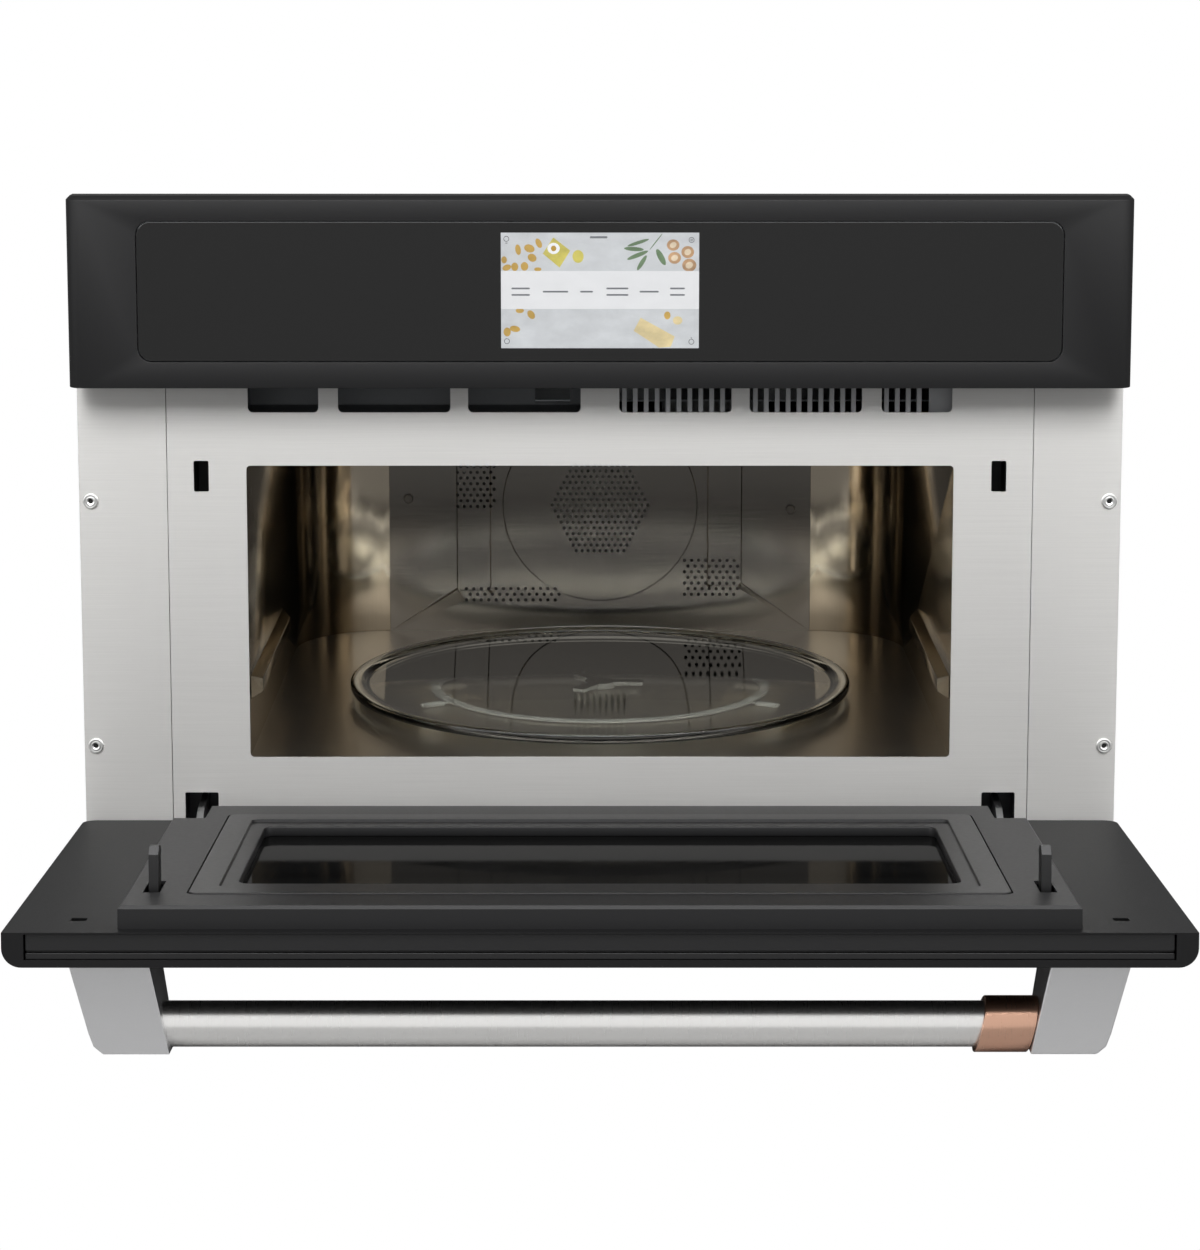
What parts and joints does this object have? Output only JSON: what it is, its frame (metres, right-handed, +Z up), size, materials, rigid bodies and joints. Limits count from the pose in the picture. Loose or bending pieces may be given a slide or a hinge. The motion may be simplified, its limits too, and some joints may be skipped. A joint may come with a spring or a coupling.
{
  "type": "high-speed oven",
  "caption": "Built-in high-speed oven with drop-down door, bar handle, touch-glass panel, turntable cavity, fan oven and microwave feed.",
  "frame": {"origin": "middle of the four cabinet screws, in the front plane of the mounting frame", "axes": "+X to the viewer's right, +Y into the oven, +Z up"},
  "size_m": [0.7556, 0.9027, 0.5278],
  "materials": {
    "stainless_brushed": "horizontally brushed stainless steel, satin",
    "bushing_steel": "bright plated steel",
    "matte_black_paint": "fine matte black powder paint on steel",
    "black_glass": "black back-painted glass",
    "display": "lit colour display",
    "galvanised": "plain galvanised sheet steel",
    "circuit_board": "green circuit board",
    "grey_plastic": "moulded grey plastic",
    "cavity_steel": "bright rolled stainless steel, near mirror",
    "heater_steel": "dark oxidised steel tube",
    "motor_steel": "grey motor casing",
    "quartz": "clear quartz tube",
    "mica": "pressed mica sheet",
    "magnetron_metal": "cooling fins and casing",
    "black_plastic": "black moulded plastic",
    "hinge_steel": "dark phosphated steel",
    "blanket": "glass fibre blanket",
    "liner_enamel": "satin charcoal enamel on pressed steel",
    "window_glass": "tinted tempered glass",
    "screen_steel": "black perforated microwave screen",
    "handle_steel": "polished and satin stainless steel",
    "copper": "brushed copper plating",
    "tray_glass": "clear tempered glass",
    "pale_plastic": "heat resistant pale plastic",
    "fan_metal": "pressed aluminium"
  },
  "bodies": {
    "oven": {"face_frame": "stainless_brushed", "side_trim_left": "stainless_brushed", "side_trim_right": "stainless_brushed", "mounting_bushings": "bushing_steel", "control_fascia": "matte_black_paint", "touch_glass": "black_glass", "panel_chassis": "galvanised", "display_module": "display", "control_board": "circuit_board", "vent_grille": "grey_plastic", "air_duct": "galvanised", "outer_wrap": "galvanised", "base_pan": "galvanised", "rear_panel": "galvanised", "service_deck": "galvanised", "cavity_shell": "cavity_steel", "cavity_floor": "cavity_steel", "cavity_ceiling": "cavity_steel", "rear_guard": "cavity_steel", "convection_housing": "galvanised", "ring_heater": "heater_steel", "convection_motor": "motor_steel", "lamp_reflector": "cavity_steel", "quartz_lamps": "quartz", "waveguide": "galvanised", "waveguide_cover": "mica", "magnetron": "magnetron_metal", "power_transformer": "motor_steel", "blower_housing": "galvanised", "blower_motor": "motor_steel", "turntable_motor": "motor_steel", "latch_housings": "black_plastic", "door_switches": "black_plastic", "hinge_receivers": "galvanised", "hinge_arms": "hinge_steel", "insulation": "blanket", "screws": "bushing_steel"},
    "door": {"door_skin": "matte_black_paint", "door_top_trim": "black_plastic", "outer_window": "black_glass", "door_liner": "liner_enamel", "choke_plate": "liner_enamel", "inner_glass": "window_glass", "window_screen": "screen_steel", "hinge_brackets": "hinge_steel", "handle_bracket_right": "handle_steel", "handle_bracket_left": "handle_steel", "handle_bar": "handle_steel", "handle_collar": "copper", "latch_pivots": "hinge_steel"},
    "latch_left": {"latch_hook_left": "black_plastic"},
    "latch_right": {"latch_hook_right": "black_plastic"},
    "turntable": {"turntable_tray": "tray_glass", "drive_coupler": "pale_plastic"},
    "roller_carrier": {"roller_ring": "pale_plastic"},
    "roller_a": {"roller_1": "pale_plastic"},
    "roller_b": {"roller_2": "pale_plastic"},
    "roller_c": {"roller_3": "pale_plastic"},
    "fan": {"convection_fan": "fan_metal"},
    "blower": {"blower_wheel": "fan_metal"}
  },
  "joints": [
    {"name": "door_hinge", "type": "hinge", "parent": "oven", "child": "door", "pos_m": [0, -0.026, -0.1527], "axis": [-1, 0, 0], "range_deg": [0, 86.7]},
    {"name": "latch_left_pivot", "type": "hinge", "parent": "door", "child": "latch_left", "pos_m": [-0.289, -0.28812, -0.13859], "axis": [1, 0, 0], "range_deg": [0, 4], "stiffness_Nm_per_rad": 0.5, "springref_deg": -5.73},
    {"name": "latch_right_pivot", "type": "hinge", "parent": "door", "child": "latch_right", "pos_m": [0.289, -0.28812, -0.13859], "axis": [1, 0, 0], "range_deg": [0, 4], "stiffness_Nm_per_rad": 0.5, "springref_deg": -5.73},
    {"name": "turntable_spin", "type": "hinge", "parent": "oven", "child": "turntable", "pos_m": [0, 0.21, -0.0902], "axis": [0, 0, 1], "continuous": true},
    {"name": "carrier_spin", "type": "hinge", "parent": "oven", "child": "roller_carrier", "pos_m": [0, 0.21, -0.0902], "axis": [0, 0, 1], "continuous": true},
    {"name": "roller_a_spin", "type": "hinge", "parent": "roller_carrier", "child": "roller_a", "pos_m": [0, 0.36, -0.09585], "axis": [0, 1, 0], "continuous": true},
    {"name": "roller_b_spin", "type": "hinge", "parent": "roller_carrier", "child": "roller_b", "pos_m": [-0.1299, 0.135, -0.09585], "axis": [-0.866, -0.5, 0], "continuous": true},
    {"name": "roller_c_spin", "type": "hinge", "parent": "roller_carrier", "child": "roller_c", "pos_m": [0.1299, 0.135, -0.09585], "axis": [0.866, -0.5, 0], "continuous": true},
    {"name": "fan_spin", "type": "hinge", "parent": "oven", "child": "fan", "pos_m": [0, 0.475, 0.0108], "axis": [0, 1, 0], "continuous": true},
    {"name": "blower_spin", "type": "hinge", "parent": "oven", "child": "blower", "pos_m": [-0.235, 0.3, 0.2063], "axis": [1, 0, 0], "continuous": true}
  ],
  "couplings": [
    {"joint": "carrier_spin", "follows": "turntable_spin", "ratio": 0.5},
    {"joint": "roller_a_spin", "follows": "turntable_spin", "ratio": -21.429},
    {"joint": "roller_b_spin", "follows": "turntable_spin", "ratio": -21.429},
    {"joint": "roller_c_spin", "follows": "turntable_spin", "ratio": -21.429}
  ]
}
